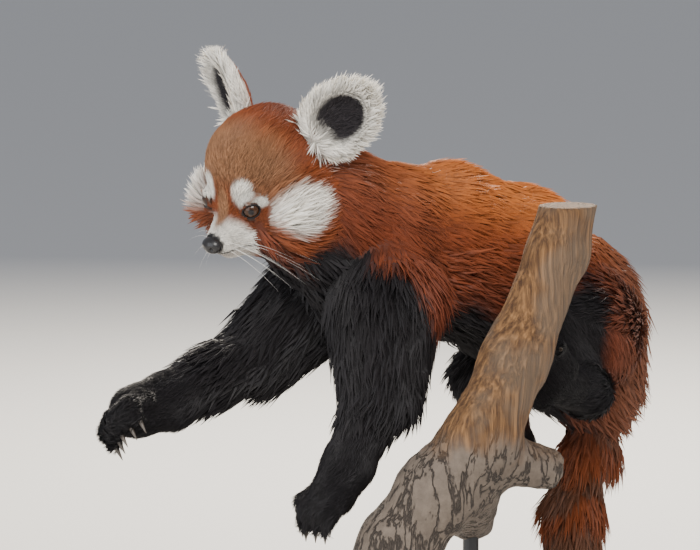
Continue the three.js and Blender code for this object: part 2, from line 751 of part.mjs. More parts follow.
// Ears: a cupped shell with a fringe of locks round its rim and tufts inside
const EAR_LENGTH = 66;
const EAR_HALF = [13, 29, EAR_LENGTH * 0.62];
function ear(side) {
  const base = onHead(-66, side * 44, 38);
  const rise = headWay(-0.35, side * 0.72, 0.6);
  const { x, y, z } = basisAlong(rise, headWay(1, side * 0.35, 0));
  const middle = base.clone().addScaledVector(z, EAR_LENGTH * 0.4);
  const shell = new THREE.SphereGeometry(1, 12, 8);
  shell.scale(...EAR_HALF);
  const outer = solidOf(placed(shell, middle, x, y, z));
  const cup = new THREE.SphereGeometry(1, 10, 7);
  cup.scale(14, 21, EAR_LENGTH * 0.45);
  const hollow = solidOf(placed(cup, middle.clone().addScaledVector(z, 4).addScaledVector(x, 11), x, y, z));
  const fringe = spread(-150, 150, 10).map((degrees) => {
    const angle = THREE.MathUtils.degToRad(degrees);
    const out = z.clone().multiplyScalar(Math.cos(angle)).addScaledVector(y, Math.sin(angle));
    const rim = middle
      .clone()
      .addScaledVector(z, EAR_HALF[2] * 0.86 * Math.cos(angle))
      .addScaledVector(y, EAR_HALF[1] * 0.86 * Math.sin(angle));
    const long = (Math.abs(degrees) > 60 ? 22 : 13) * vary(0.2);
    const stations = [[0, 0.8], [0.4, 1], [0.75, 0.7], [1, 0.12]].map(([t, wide]) => [
      rim
        .clone()
        .addScaledVector(out, long * t)
        .addScaledVector(x, -3 * t)
        .addScaledVector(z, -6 * t * t * (Math.abs(degrees) > 60 ? 1 : 0)),
      wide * 6.5,
    ]);
    return horn(stations, 4, 0.4, x);
  });
  const tufts = [-30, 0, 30].map((degrees, i) => {
    const angle = THREE.MathUtils.degToRad(degrees);
    const root = middle.clone().addScaledVector(z, -22).addScaledVector(y, -7 + 7 * i);
    const way = z.clone().multiplyScalar(Math.cos(angle)).addScaledVector(y, Math.sin(angle)).addScaledVector(x, 0.15);
    const stations = [[0, 4], [0.45, 5], [1, 0.6]].map(([t, r]) => [root.clone().addScaledVector(way, 30 * t), r]);
    return horn(stations, 4, 0.45, x);
  });
  return joined(outer.subtract(hollow), [...fringe, ...tufts]);
}
const headRoom = meshed((p) => blended([headField, neckField], 16)(p) - 1.5, headBox[0], headBox[1], 9);

add("head", "coat_pale", head);
add("ear_left", "coat_pale", ear(1).subtract(headRoom));
add("ear_right", "coat_pale", ear(-1).subtract(headRoom));
add("eye_left", "eye", ball(EYES.left[0], EYE_RADIUS));
add("eye_right", "eye", ball(EYES.right[0], EYE_RADIUS));
add("nose", "nose", noseSolid(0).subtract(wasm.Manifold.union(nostrils)));
add("neck", "coat_rust", neck);
add("torso", "coat_rust", torso);
add("tail", "coat_tail", tail);

// Legs with their shag, and feet with claws
const LEG_SHAG = {
  front_left: [P(-80, -54, 150), P(-102, -51, 90), 2, [-30, 30, 150, 210], direction(0.1, 0, -1), 26, 13, 0.25],
  front_right: [P(-138, 57, 154), P(-225, 49, 126), 3, [110, 165, 195, 250], direction(-0.35, 0, -0.94), 30, 14, 0.3],
  rear_left: [P(104, -62, 178), P(140, -58, 150), 2, [60, 120, 200], direction(0.55, -0.1, -0.83), 34, 18, 0.2],
  rear_right: [P(112, 62, 78), P(122, 64, 64), 1, [0, 90, 180, 270], direction(0.3, 0, -0.95), 22, 12, 0.2],
};
const LEG_STEP = 12.8;
const PAW_STEP = 7.2;
Object.entries(LEGS).forEach(([name, stations], which) => {
  const ownField = blended([upperLegs[which], lowerLegs[which]], 5);
  const low = V(1e6, 1e6, 1e6);
  const high = V(-1e6, -1e6, -1e6);
  for (const [at, radius] of stations) {
    low.min(at.clone().subScalar(radius + 30));
    high.max(at.clone().addScalar(radius + 30));
  }
  const raw = meshed(ownField, low, high, LEG_STEP);
  const kept = joined(raw, shag(ownField, ...LEG_SHAG[name]))
    .intersect(beyond(LEG_PLANES[name], 240, -GAP / 2))
    .subtract(wasm.Manifold.union([beyond(pawPlanes[name], 90, GAP / 2), perchRoom]));
  add(`leg_${name}`, "coat_dark", kept);
  const at = FEET[name].at;
  const pawRaw = meshed(lowerLegs[which], at.clone().subScalar(62), at.clone().addScalar(62), PAW_STEP);
  const room = [perchRoom, ...toes[name].map((toe) => claw(toe, GAP))];
  const paw = pawRaw.intersect(beyond(pawPlanes[name], 90, -GAP / 2)).subtract(wasm.Manifold.union(room));
  add(`paw_${name}`, "coat_dark", pieceAt(paw.decompose(), toes[name][2].knuckle));
  toes[name].forEach((toe, i) => {
    add(`claw_${name}_${i + 1}`, "claw", claw(toe, 0).subtract(perchRoom));
  });
});

// Stand
add("branch", "bark", perch);
const BASE_SIZE = [400, 300];
const base = new THREE.BoxGeometry(BASE_SIZE[0], BASE_SIZE[1], BASE_THICKNESS).translate(0, 0, BASE_THICKNESS / 2);
add("stand_base", "stand", solidOf(base));
const ROD_FEET = [P(-92, -82, 0), P(50, 12, 0)];
ROD_FEET.forEach((foot, i) => {
  const height = SOLE_Z + 10 - BASE_THICKNESS - GAP;
  const rod = new THREE.CylinderGeometry(ROD_RADIUS, ROD_RADIUS, height, 24)
    .rotateX(Math.PI / 2)
    .translate(foot.x, foot.y, BASE_THICKNESS + GAP + height / 2);
  add(`stand_rod_${i + 1}`, "stand", solidOf(rod).subtract(perchRoom));
});

export default group;
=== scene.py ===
import math

import bpy
import numpy as np
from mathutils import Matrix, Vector


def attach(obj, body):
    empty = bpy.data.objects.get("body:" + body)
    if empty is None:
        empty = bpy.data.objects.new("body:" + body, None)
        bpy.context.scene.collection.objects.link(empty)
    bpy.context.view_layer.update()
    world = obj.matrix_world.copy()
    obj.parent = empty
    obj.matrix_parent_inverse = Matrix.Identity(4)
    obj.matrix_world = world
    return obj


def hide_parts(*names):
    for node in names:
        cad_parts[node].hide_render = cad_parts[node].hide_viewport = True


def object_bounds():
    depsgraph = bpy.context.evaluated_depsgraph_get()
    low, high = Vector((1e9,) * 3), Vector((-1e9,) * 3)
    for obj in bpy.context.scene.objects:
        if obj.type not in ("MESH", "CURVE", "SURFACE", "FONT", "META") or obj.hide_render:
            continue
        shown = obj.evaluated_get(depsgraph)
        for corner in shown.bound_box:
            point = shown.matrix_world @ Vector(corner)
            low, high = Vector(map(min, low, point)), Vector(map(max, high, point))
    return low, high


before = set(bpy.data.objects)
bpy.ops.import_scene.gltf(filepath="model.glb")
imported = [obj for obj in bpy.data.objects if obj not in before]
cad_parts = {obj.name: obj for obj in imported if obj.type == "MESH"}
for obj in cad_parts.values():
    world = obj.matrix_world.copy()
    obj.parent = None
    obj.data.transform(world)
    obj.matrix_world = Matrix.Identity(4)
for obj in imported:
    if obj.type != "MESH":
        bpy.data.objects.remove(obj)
start_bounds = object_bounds()
RNG = np.random.default_rng(11)

# The animal's measures, in millimetres over the soles, as in the solids
SOLE = np.array([-20.0, 20.0, 308.0])


# A place over the soles: forward is -x, the animal's left is -y
def P(x, y, z):
    return np.array([x, y, z], float) + SOLE


HEAD_AT = P(-196, -10, 295)
YAW, PITCH, ROLL = (math.radians(a) for a in (14, 21, 6))


def turn(axis, angle):
    c, s = math.cos(angle), math.sin(angle)
    i, j = [(1, 2), (2, 0), (0, 1)][axis]
    m = np.eye(3)
    m[i, i] = m[j, j] = c
    m[i, j], m[j, i] = -s, s
    return m


HEAD_TURN = turn(2, YAW) @ turn(1, -PITCH) @ turn(0, ROLL)
FORWARD, LEFT, UP = HEAD_TURN @ [-1, 0, 0], HEAD_TURN @ [0, -1, 0], HEAD_TURN @ [0, 0, 1]


def unit(v):
    v = np.asarray(v, float)
    return v / np.maximum(np.linalg.norm(v, axis=-1, keepdims=True), 1e-9)


def on_head(f, l, u):
    return HEAD_AT + FORWARD * f + LEFT * l + UP * u


def head_way(f, l, u):
    return unit(FORWARD * f + LEFT * l + UP * u)


def in_head(p):
    q = p - HEAD_AT
    return np.stack([q @ FORWARD, q @ LEFT, q @ UP], -1)


# Places along each leg, from the body to the foot, and the radius at each
LEGS = {
    "front_left": [
        (P(-72, -44, 215), 46), (P(-80, -54, 138), 31), (P(-108, -50, 76), 22), (P(-124, -49, 50), 20),
    ],
    "front_right": [
        (P(-75, 42, 210), 44), (P(-131, 58, 158), 31), (P(-225, 48, 124), 25), (P(-262, 42, 118), 23),
    ],
    "rear_left": [
        (P(135, -36, 168), 54), (P(76, -40, 190), 36), (P(112, -78, 120), 22), (P(64, -98, 134), 16),
    ],
    "rear_right": [
        (P(138, 40, 160), 54), (P(94, 56, 114), 34), (P(128, 66, 52), 19), (P(88, 58, 32), 17),
    ],
}
# Each foot's way from heel to toes, its upper side, and how far the toes bend, in degrees
FEET = {
    "front_left": ([-0.8, 0.05, -0.6], [-0.6, 0, 0.8], 38),
    "front_right": ([-0.9, -0.25, -0.2], [-0.35, 0.55, 0.75], 78),
    "rear_left": ([-0.72, 0, 0.62], [0.1, 0.98, 0.1], 62),
    "rear_right": ([-1, -0.03, -0.02], [0, 0, 1], 14),
}
TOE_RADIUS, TOE_SPREAD = 8.5, 10.5
TOES = {}
for name, (along, back, curl) in FEET.items():
    at = LEGS[name][3][0]
    along = unit(along)
    side = unit(np.cross(back, along))
    back = np.cross(along, side)
    TOES[name] = []
    for i in (-2, -1, 0, 1, 2):
        start = at + side * (i * TOE_SPREAD * 0.75)
        knuckle = start + along * (24 - abs(i) * 3) + side * (i * 3.2) + back * (2 - abs(i))
        bent = along * math.cos(math.radians(curl)) - back * math.sin(math.radians(curl))
        tip = knuckle + bent * 13 + side * (i * 0.6)
        TOES[name].append((start, knuckle, tip, bent, back, side))
TAIL = [
    (P(176, 0, 100), 30), (P(166, 0, 50), 29), (P(150, 0, 0), 34), (P(148, 0, -60), 38),
    (P(154, 0, -150), 38), (P(152, 0, -215), 33), (P(143, 0, -258), 20),
]
EYE_RADIUS = 8.0
EYES = {1: on_head(3, 24, 1), -1: on_head(3, -24, 1)}
NOSE_AT = on_head(33, 0, -23)
EAR_LENGTH = 66
EAR_RISE = EAR_LENGTH * 0.4  # from the ear's base to its middle


# Distance fields over arrays of points
def smin(a, b, k):
    h = np.maximum(k - np.abs(a - b), 0) / k
    return np.minimum(a, b) - h * h * k * 0.25


def blended(fields, k):
    d = fields[0]
    for f in fields[1:]:
        d = smin(d, f, k)
    return d


def ellipsoid(q, centre, radii):
    v = q - np.asarray(centre, float)
    r = np.asarray(radii, float)
    k0 = np.linalg.norm(v / r, axis=-1)
    k1 = np.maximum(np.linalg.norm(v / (r * r), axis=-1), 1e-6)
    return k0 * (k0 - 1) / k1


def cone(p, a, b, ra, rb):
    axis = b - a
    l2 = axis @ axis
    rr = ra - rb
    a2 = l2 - rr * rr
    q = p - a
    y = q @ axis
    z = y - l2
    x = q * l2 - y[..., None] * axis
    x2 = (x * x).sum(-1)
    y2, z2 = y * y * l2, z * z * l2
    k = np.sign(rr) * rr * rr * x2
    d = (np.sqrt(x2 * a2 / l2) + y * rr) / l2 - ra
    d = np.where(np.sign(y) * a2 * y2 < k, np.sqrt(x2 + y2) / l2 - ra, d)
    return np.where(np.sign(z) * a2 * z2 > k, np.sqrt(x2 + z2) / l2 - rb, d)


def chain(p, stations, k):
    return blended([cone(p, a[0], b[0], a[1], b[1]) for a, b in zip(stations, stations[1:])], k)


TORSO = [
    (P(-62, 0, 246), 68), (P(10, 0, 245), 72), (P(80, 0, 220), 75),
    (P(135, 0, 172), 72), (P(165, 0, 125), 52),
]
# The torso is higher than wide: its width is stretched before the distance is taken
STRETCH, STRETCH_ABOUT, STRETCH_EASE = 1.32, 0.32, 1.08
NECK = [(P(-60, 0, 262), 66), (P(-110, -2, 284), 58), (P(-155, -8, 290), 48)]
# Skull, brow and the two cheeks: middle and half sizes forward, left and up
HEAD_FORMS = [
    ([-44, 0, 20], [53, 50, 49]),
    ([-16, 0, 2], [26, 34, 25]),
    ([-32, 42, -16], [32, 27, 31]),
    ([-32, -42, -16], [32, 27, 31]),
]


def torso_field(p):
    q = p * [1, STRETCH, 1]
    q[..., 1] -= SOLE[1] * STRETCH_ABOUT
    return chain(q, TORSO, 20) / STRETCH_EASE


def neck_field(p):
    return chain(p, NECK, 16)


def head_field(p):
    q = in_head(p)
    forms = [ellipsoid(q, centre, radii) for centre, radii in HEAD_FORMS]
    muzzle = cone(p, on_head(-8, 0, -15), on_head(23, 0, -22), 21, 13)
    jaw = cone(p, on_head(-12, 0, -30), on_head(14, 0, -34), 17, 9)
    return blended([*forms, muzzle, jaw], 14)


def ear_frame(side):
    base = on_head(-66, side * 44, 38)
    z = head_way(-0.35, side * 0.72, 0.6)
    hint = head_way(1, side * 0.35, 0)
    x = unit(hint - z * (hint @ z))
    return base, x, np.cross(z, x), z


def ear_field(p, side):
    base, x, y, z = ear_frame(side)
    middle = base + z * EAR_RISE
    q = p - middle
    q = np.stack([q @ x, q @ y, q @ z], -1)
    shell = ellipsoid(q, [0, 0, 0], [12, 28, EAR_LENGTH * 0.6])
    cup = ellipsoid(q, [11, 0, 4], [14, 21, EAR_LENGTH * 0.45])
    return np.maximum(shell, -cup)


def leg_field(p, name):
    toes = []
    for start, knuckle, tip, *_ in TOES[name]:
        toes.append(
            smin(
                cone(p, start, knuckle, TOE_RADIUS + 3, TOE_RADIUS + 1),
                cone(p, knuckle, tip, TOE_RADIUS + 1, TOE_RADIUS - 2),
                4,
            )
        )
    return blended([chain(p, LEGS[name][1:], 10), *toes], 5)


def upper_leg(p, name):
    return chain(p, LEGS[name][:2], 14)


PARTS = ["torso", "neck", "head", "ear_l", "ear_r", "tail", *LEGS]
IS_TORSO, IS_NECK, IS_HEAD, IS_TAIL, FIRST_LEG = 0, 1, 2, 5, 6
EARS = {3: 1, 4: -1}  # the ears' places in PARTS, and their sides
# How deep the skin lies under the coat's outer surface, mm
DEPTH = {"torso": 6.5, "neck": 6.5, "tail": 16}


def part_fields(p):
    h = in_head(p)
    face = np.clip((h[..., 0] + 45) / 45, 0, 1)
    head_depth = 6 * (1 - face) + 1.8 * face
    fields = {
        "torso": torso_field(p) + DEPTH["torso"],
        "neck": neck_field(p) + DEPTH["neck"],
        "head": head_field(p) + head_depth,
        "ear_l": ear_field(p, 1) + 1.0,
        "ear_r": ear_field(p, -1) + 1.0,
        "tail": chain(p, TAIL, 16) + np.where(p[..., 2] < SOLE[2] + 40, DEPTH["tail"], 11),
    }
    for name in LEGS:
        upper = upper_leg(p, name) + (2.0 if name.startswith("front") else 6.5)
        end = LEGS[name][3][0]
        near = np.linalg.norm(p - end, axis=-1)
        depth = np.clip((near - 20) / 90, 0, 1) * 5 + 1.5
        fields[name] = smin(upper, leg_field(p, name) + depth, 8)
    return fields


def animal(p):
    f = part_fields(p)
    body = blended([f["torso"], f["neck"], f["head"], f["tail"]], 16)
    for name in LEGS:
        body = smin(body, f[name], 12 if name != "rear_left" else 8)
    for ear in ("ear_l", "ear_r"):
        body = smin(body, f[ear], 5)
    for side, at in EYES.items():
        d = np.linalg.norm(p - at, axis=-1)
        lid = np.maximum(d - EYE_RADIUS - 2.9, lid_opening(p, side))
        body = smin(body, lid, 3)
        body = np.maximum(body, -(d - EYE_RADIUS - 0.25))
    return body


def eye_axes(side):
    gaze = head_way(0.74, side * 0.66, 0.1)
    corner = head_way(-0.62, side * 0.74, 0.2)
    corner = unit(corner - gaze * (corner @ gaze))
    rise = np.cross(corner, gaze) * side
    return gaze, corner, unit(rise)


def lid_opening(p, side):
    gaze, corner, rise = eye_axes(side)
    q = p - EYES[side]
    a, b, g = q @ corner / 8.6, q @ rise / 6.4, q @ gaze
    return np.where(g > 0, (1 - np.sqrt(a * a + b * b)) * 5.0, -5.0)


# Surface nets: a mesh of quads where a field is zero, filled in slabs to spare memory
SLAB = 12


def surface(low, high, step, field):
    n = np.ceil((high - low) / step).astype(int) + 1
    axes = [low[i] + step * np.arange(n[i]) for i in range(3)]
    value = np.empty(n, np.float32)
    for i in range(0, n[0], SLAB):
        grid = np.stack(np.meshgrid(axes[0][i : i + SLAB], axes[1], axes[2], indexing="ij"), -1)
        value[i : i + SLAB] = field(grid)
    inside = value < 0
    shape = tuple(n - 1)
    total, count = np.zeros((*shape, 3), np.float32), np.zeros(shape, np.float32)
    for axis in range(3):
        for d1 in (0, 1):
            for d2 in (0, 1):
                offs = [0, 0, 0]
                offs[(axis + 1) % 3], offs[(axis + 2) % 3] = d1, d2
                sa = tuple(slice(o, o + s) for o, s in zip(offs, shape))
                offb = list(offs)
                offb[axis] += 1
                sb = tuple(slice(o, o + s) for o, s in zip(offb, shape))
                va, vb = value[sa], value[sb]
                cross = (va < 0) != (vb < 0)
                t = np.where(cross, va / np.where(cross, va - vb, 1), 0)
                for c in range(3):
                    total[..., c] += cross * (offs[c] + (t if c == axis else 0))
                count += cross
    cells = np.argwhere(count > 0)
    index = -np.ones(shape, np.int64)
    index[tuple(cells.T)] = np.arange(len(cells))
    pos = low + step * (cells + total[tuple(cells.T)] / count[tuple(cells.T)][:, None])
    faces = []
    for axis in range(3):
        u, w = (axis + 1) % 3, (axis + 2) % 3
        sa = [slice(1, m - 1) for m in n]
        sa[axis] = slice(0, n[axis] - 1)
        sb = list(sa)
        sb[axis] = slice(1, n[axis])
        ins_a, ins_b = inside[tuple(sa)], inside[tuple(sb)]
        where = np.argwhere(ins_a != ins_b)
        flip = ins_b[tuple(where.T)]
        where = where + [s.start for s in sa]
        du, dw = np.eye(3, dtype=int)[u], np.eye(3, dtype=int)[w]
        ring = [index[tuple((where - a * du - b * dw).T)] for a, b in ((1, 1), (0, 1), (0, 0), (1, 0))]
        quad = np.stack(ring, -1)
        quad[flip] = quad[flip][:, ::-1]
        faces.append(quad)
    return pos, np.concatenate(faces)


def gradient(field, p, e=0.6):
    g = np.stack([field(p + e * np.eye(3)[i]) - field(p - e * np.eye(3)[i]) for i in range(3)], -1)
    return unit(g)


# Colours of the coat by place
RUST = np.array([0.285, 0.066, 0.016])
# painted light: a brighter rust for the top of the back, standing for light falling from above
TOP_PAINTED_LIGHT = np.array([0.50, 0.150, 0.028])
CHESTNUT = np.array([0.115, 0.026, 0.010])
BLACK = np.array([0.0115, 0.0095, 0.0105])
WHITE = np.array([0.80, 0.76, 0.68])
TAN = np.array([0.27, 0.128, 0.060])
BROWN = np.array([0.12, 0.046, 0.022])
DARK_BROWN = np.array([0.075, 0.032, 0.018])


def step01(x, a, b):
    t = np.clip((x - a) / (b - a), 0, 1)
    return t * t * (3 - 2 * t)


def mix(a, b, t):
    return a + (b - a) * np.asarray(t)[..., None]


def patch(q, centre, radii, soft=0.35):
    d = np.linalg.norm((q - centre) / radii, axis=-1)
    return 1 - step01(d, 1 - soft, 1 + soft)


# Where rust meets black along the side: heights over the soles at places along the body
EDGE_X = [-160, -110, -85, -70, -60, -52, -38, -26, -8, 60, 100, 130, 200]
EDGE_Z = [252, 250, 247, 226, 206, 186, 170, 188, 198, 190, 150, 100, 40]


def coat_colour(p, part):
    n = len(p)
    wob = 6 * np.sin(p[:, 0] * 0.11 + 1.3 * np.sin(p[:, 2] * 0.07))
    wob = wob + 4 * np.sin(p[:, 1] * 0.13 + p[:, 2] * 0.05)
    h = p - SOLE
    back = mix(CHESTNUT * 1.25, RUST * 0.92, step01(h[:, 2] + wob * 0.6, 190, 275))
    # the top of the back, more so toward the rear, is drawn brighter as painted light from above
    back = mix(back, TOP_PAINTED_LIGHT, step01(h[:, 2] + 0.25 * h[:, 0], 256, 312))
    back = mix(back, CHESTNUT * 1.4, 0.85 * (1 - step01(h[:, 0] + wob, -110, 60)))
    back = mix(back, BROWN * 1.5, 0.7 * step01(h[:, 0], 120, 190))
    edge = np.interp(h[:, 0], EDGE_X, EDGE_Z)
    colour = mix(BLACK * 1.1, back, step01(h[:, 2] + wob, edge - 9, edge + 9))
    is_neck = part == IS_NECK
    neck = mix(BLACK * 1.2, back, step01(h[:, 2] + wob, edge - 10, edge + 10))
    colour[is_neck] = neck[is_neck]
    t = (SOLE[2] + 60 - p[:, 2]) / 330
    rings = 0.5 + 0.5 * np.sin(2 * math.pi * (t * 6.2 + 0.02 * wob))
    tail = mix(mix(BROWN * 0.8, RUST * 0.55, step01(rings, 0.3, 0.8)), DARK_BROWN, step01(t, 0.9, 1.0))
    tail = mix(tail, back * 0.8, step01(h[:, 2], 40, 90))
    colour[part == IS_TAIL] = tail[part == IS_TAIL]
    for i, name in enumerate(LEGS):
        m = part == FIRST_LEG + i
        dark = np.tile(BLACK, (n, 1))
        if name.startswith("rear"):
            hip = step01(h[:, 0] + wob, 118, 142) * step01(h[:, 2], 60, 90)
            rump = np.maximum(hip, step01(h[:, 2] + wob, 206, 226))
            dark = mix(dark, back, rump)
        else:
            dark = mix(dark, back, step01(h[:, 2] + wob, edge - 9, edge + 9))
        colour[m] = dark[m]
    colour[part == IS_HEAD] = head_colour(p)[part == IS_HEAD]
    for i, side in EARS.items():
        m = part == i
        if m.any():
            colour[m] = ear_colour(p[m], side)
    return colour


def head_colour(p):
    q = in_head(p)
    f, l, u = q.T
    a = np.abs(l)
    sym = np.stack([f, a, u], -1)
    c = mix(RUST * 0.75, TAN * 1.05, step01(f, -40, -8) * step01(u, 8, 34))
    c = mix(c, CHESTNUT * 1.2, 0.8 * (1 - step01(f, -62, -30)) * step01(u, 20, 50))
    c = mix(c, TAN * 0.85, 0.6 * step01(a, 20, 34) * step01(f, -46, -18) * step01(u, 0, 14))
    c = mix(c, BLACK * 1.6, 0.85 * (1 - step01(u + 0.35 * f, -62, -46)))
    c = mix(c, WHITE, patch(sym, [-20, 58, -5], [24, 21, 19], 0.3))
    c = mix(c, WHITE, patch(sym, [14, 0, -22], [29, 25, 18], 0.25))
    c = mix(c, WHITE, patch(sym, [4, 23, -30], [13, 13, 13], 0.25))
    c = mix(c, WHITE, patch(sym, [5, 19, 15], [12, 10, 12], 0.25))
    c = mix(c, WHITE * 0.95, patch(sym, [0, 32, 8], [9, 9, 4.5]))
    c = mix(c, TAN * 1.1, patch(sym, [14, 0, 4], [18, 6.5, 16]))
    tear = patch(sym, [4, 30, -11], [10, 9, 7.5], 0.25)
    tear = np.maximum(tear, patch(sym, [0, 38, -17], [11, 8, 10], 0.25))
    tear = np.maximum(tear, patch(sym, [-5, 47, -25], [13, 10, 11], 0.25))
    tear = np.maximum(tear, patch(sym, [-10, 42, -42], [16, 16, 9], 0.3))
    c = mix(c, RUST * 0.72, tear)
    c = mix(c, WHITE * 0.86, patch(sym, [8, 0, -42], [18, 15, 8]))
    c = mix(c, BLACK * 2, 0.85 * mouth_line(sym))
    for side, at in EYES.items():
        d = np.linalg.norm(p - at, axis=-1)
        c = mix(c, BLACK, 1 - step01(d, EYE_RADIUS + 0.6, EYE_RADIUS + 2.2))
    return mix(c, BLACK, 1 - step01(np.linalg.norm(p - NOSE_AT, axis=-1), 9.5, 12))


# The mouth runs round the muzzle in these directions from its middle
MOUTH_AT = np.array([2.0, 0, -20])
MOUTH = unit([[1, 0, -0.42], [0.85, 0.42, -0.52], [0.45, 0.85, -0.6], [0.05, 0.95, -0.5]])


def mouth_line(sym):
    way = unit(sym - MOUTH_AT)
    gap = np.full(len(sym), 9.0)
    for a, b in zip(MOUTH, MOUTH[1:]):
        t = np.clip(((way - a) @ (b - a)) / ((b - a) @ (b - a)), 0, 1)
        gap = np.minimum(gap, np.linalg.norm(way - a - t[:, None] * (b - a), axis=-1))
    philtrum = np.where((sym[:, 0] > 20) & (sym[:, 2] < -26) & (sym[:, 2] > -36), sym[:, 1] / 30, 9)
    return 1 - step01(np.minimum(gap, philtrum), 0.025, 0.06)


def ear_colour(p, side):
    base, x, y, z = ear_frame(side)
    q = p - base - z * EAR_RISE
    fx, fy, fz = q @ x, q @ y, q @ z
    r = np.sqrt((fy / 21) ** 2 + ((fz - 4) / 30) ** 2)
    front = mix(BLACK * 2.2, WHITE, step01(r, 0.72, 0.98))
    front = mix(front, WHITE, step01(-fz, 8, 22))
    behind = mix(RUST * 0.9, WHITE, step01(np.sqrt((fy / 28) ** 2 + (fz / 39) ** 2), 0.8, 1.0))
    inside = r < 1
    return mix(behind, front, np.where(inside, step01(fx, -7, -5), step01(fx, -4, 1)))


# Lie of the coat, and its length, by place
def nearest_part(p):
    f = part_fields(p)
    return np.argmin(np.stack([f[k] for k in PARTS], -1), -1)


def lie_of(p, part, normal):
    d = np.zeros_like(p)
    h = p - SOLE
    d[part == IS_TORSO] = unit([0.93, 0, -0.36])
    low = (part == IS_TORSO) & (h[:, 0] > 120)
    d[low] = unit([0.6, 0, -0.8])
    d[part == IS_NECK] = unit([0.8, 0, -0.6])
    t = unit(p - (NOSE_AT + FORWARD * 6 + UP * 6))
    d[part == IS_HEAD] = t[part == IS_HEAD]
    for i, side in EARS.items():
        base, x, y, z = ear_frame(side)
        away = unit(p - base + z * 6 + x * 3)
        d[part == i] = away[part == i]
    points = np.array([s[0] for s in TAIL])
    seg = np.clip(np.searchsorted(-points[:, 2], -p[:, 2]) - 1, 0, len(TAIL) - 2)
    along = unit(points[seg + 1] - points[seg])
    d[part == IS_TAIL] = along[part == IS_TAIL]
    for i, name in enumerate(LEGS):
        st = np.array([s[0] for s in LEGS[name]])
        dist = np.stack([np.linalg.norm(p - (st[k] + st[k + 1]) / 2, axis=-1) for k in range(3)], -1)
        k = dist.argmin(-1)
        along = unit(st[k + 1] - st[k]) + np.array([0, 0, -0.35])
        toe = np.linalg.norm(p - st[3], axis=-1) < 36
        foot = unit(FEET[name][0])
        along[toe] = foot
        d[part == FIRST_LEG + i] = unit(along)[part == FIRST_LEG + i]
    d = d - normal * (d * normal).sum(-1, keepdims=True)
    return unit(d)


def length_of(p, part):
    h = in_head(p)
    kinds = [part == IS_TORSO, part == IS_NECK, part == IS_HEAD, np.isin(part, list(EARS)), part == IS_TAIL]
    base = np.select(kinds, [27, 27, 14, 13, 34], 17).astype(float)
    low = ((part == IS_TORSO) & (p[:, 2] < SOLE[2] + 190)) | ((part == IS_NECK) & (p[:, 2] < SOLE[2] + 256))
    base[low] = 36
    m = part == IS_HEAD
    face = np.clip((h[:, 0] + 42) / 62, 0, 1)
    base[m] = (16 * (1 - face) + 5.0 * face)[m]
    cheek = m & (np.abs(h[:, 1]) > 34) & (h[:, 0] < 2) & (h[:, 2] < 14)
    base[cheek] = 25
    for i, name in enumerate(LEGS):
        m = part == FIRST_LEG + i
        near = np.linalg.norm(p - LEGS[name][3][0], axis=-1)
        base[m] = (7.5 + (26 if name.startswith("front") else 16) * np.clip((near - 30) / 80, 0, 1))[m]
    for i, side in EARS.items():
        b, x, y, z = ear_frame(side)
        q = p - b - z * EAR_RISE
        rim = np.sqrt((q @ y / 28) ** 2 + (q @ z / 39) ** 2)
        m = part == i
        base[m] = np.where((rim > 0.78) | (q @ z < -12), 17, 8)[m]
    for side, at in EYES.items():
        d = np.linalg.norm(p - at, axis=-1)
        base = np.where(d < EYE_RADIUS + 6, np.minimum(base, 2.6), base)
    d = np.linalg.norm(p - NOSE_AT, axis=-1)
    return np.where(d < 16, np.minimum(base, 2.4), base)


# Meshes
def make_mesh(name, pos_mm, faces, colour=None, uv=None, smooth=False):
    mesh = bpy.data.meshes.new(name)
    k = faces.shape[1]
    mesh.vertices.add(len(pos_mm))
    mesh.vertices.foreach_set("co", (np.asarray(pos_mm, np.float32) / 1000).ravel())
    mesh.loops.add(faces.size)
    mesh.loops.foreach_set("vertex_index", faces.astype(np.int32).ravel())
    mesh.polygons.add(len(faces))
    mesh.polygons.foreach_set("loop_start", np.arange(len(faces), dtype=np.int32) * k)
    mesh.update(calc_edges=True)
    if colour is not None:
        layer = mesh.color_attributes.new("Coat", "FLOAT_COLOR", "POINT")
        layer.data.foreach_set("color", np.c_[colour, np.ones(len(colour))].astype(np.float32).ravel())
    if uv is not None:
        layer = mesh.uv_layers.new(name="OFBake")
        layer.uv.foreach_set("vector", uv.astype(np.float32).ravel())
    mesh.polygons.foreach_set("use_smooth", np.full(len(faces), smooth))
    obj = bpy.data.objects.new(name, mesh)
    bpy.context.scene.collection.objects.link(obj)
    return obj


# A socket of a node tree that can be added, multiplied and subtracted
class Sock:
    def __init__(self, tree, value):
        self.tree, self.value = tree, value

    def math(self, op, *others):
        return node(self.tree, "ShaderNodeMath", {"operation": op}, [self, *others])

    def __add__(self, o):
        return self.math("ADD", o)

    __radd__ = __add__

    def __mul__(self, o):
        return self.math("MULTIPLY", o)

    __rmul__ = __mul__

    def __sub__(self, o):
        return self.math("SUBTRACT", o)

    def __rsub__(self, o):
        return node(self.tree, "ShaderNodeMath", {"operation": "SUBTRACT"}, [o, self])


def node(tree, kind, settings=None, inputs=None, out=0):
    n = tree.nodes.new(kind)
    for key, value in (settings or {}).items():
        setattr(n, key, value)
    pairs = inputs.items() if isinstance(inputs, dict) else enumerate(inputs or [])
    for key, value in pairs:
        if isinstance(value, Sock):
            tree.links.new(value.value, n.inputs[key])
        else:
            n.inputs[key].default_value = value
    return Sock(tree, n.outputs[out])


def material(name, build):
    mat = bpy.data.materials.new(name)
    mat.use_nodes = True
    tree = mat.node_tree
    build(tree, tree.nodes["Principled BSDF"])
    return mat


def plain(name, colour, rough, coat=0.0):
    def build(tree, bsdf):
        bsdf.inputs["Base Color"].default_value = (*colour, 1)
        bsdf.inputs["Roughness"].default_value = rough
        bsdf.inputs["Coat Weight"].default_value = coat

    return material(name, build)


def blend(tree, share, low, high):
    """A colour between two others, by a share from 0 to 1."""
    return node(tree, "ShaderNodeMix", {"data_type": "RGBA"}, {0: share, 6: low, 7: high}, 2)


